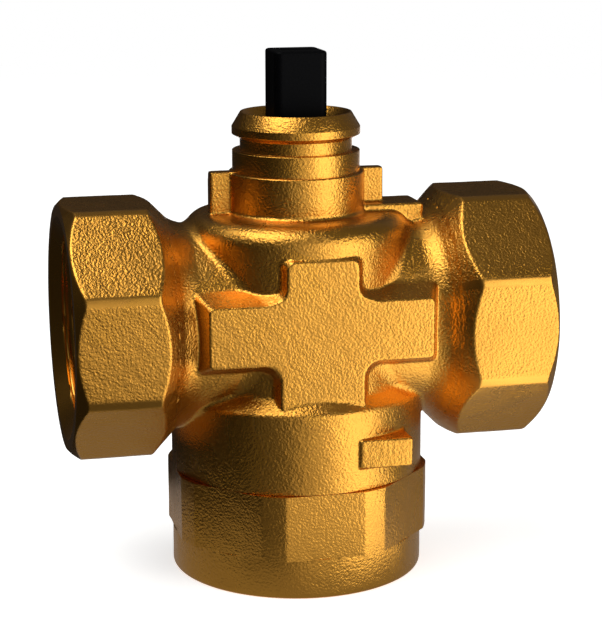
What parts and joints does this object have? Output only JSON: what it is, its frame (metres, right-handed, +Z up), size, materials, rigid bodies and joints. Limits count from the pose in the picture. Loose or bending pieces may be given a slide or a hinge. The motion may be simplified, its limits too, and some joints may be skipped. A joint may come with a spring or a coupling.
{
  "type": "three-way zone valve",
  "caption": "Forged brass diverting zone valve with a square stem, a collar for a clip-on actuator, octagonal female ports and an L-bored ball.",
  "frame": {"origin": "centre of the end face of port AB, on the stem axis", "axes": "+Z up the stem axis, +X towards port B, -Y out of the front face with the raised cross"},
  "size_m": [0.0792, 0.0426, 0.0874],
  "materials": {
    "forged_brass": "forged and shot-blasted, satin",
    "turned_brass": "turned",
    "black_polymer": "moulded, glass-filled",
    "white_polymer": "smooth, waxy",
    "black_rubber": "smooth",
    "plated_ball": "polished",
    "spring_steel": "stamped"
  },
  "bodies": {
    "housing": {"valve_body": "forged_brass", "gland_bushing": "turned_brass", "stem_wiper": "black_rubber", "retaining_clip": "spring_steel", "thrust_washer": "white_polymer", "bushing_o_ring": "black_rubber", "seat_a": "white_polymer", "seat_b": "white_polymer", "seat_ab": "white_polymer", "seat_o_ring_a": "black_rubber", "seat_o_ring_b": "black_rubber", "seat_o_ring_ab": "black_rubber", "seat_insert_a": "turned_brass", "seat_insert_b": "turned_brass", "seat_insert_ab": "turned_brass"},
    "spindle": {"stem": "black_polymer", "diverter_ball": "plated_ball", "stem_o_ring_lower": "black_rubber", "stem_o_ring_upper": "black_rubber"}
  },
  "joints": [
    {"name": "stem_rotation", "type": "hinge", "parent": "housing", "child": "spindle", "pos_m": [0, 0, 0.04275], "axis": [0, 0, 1], "range_deg": [0, 90]}
  ]
}
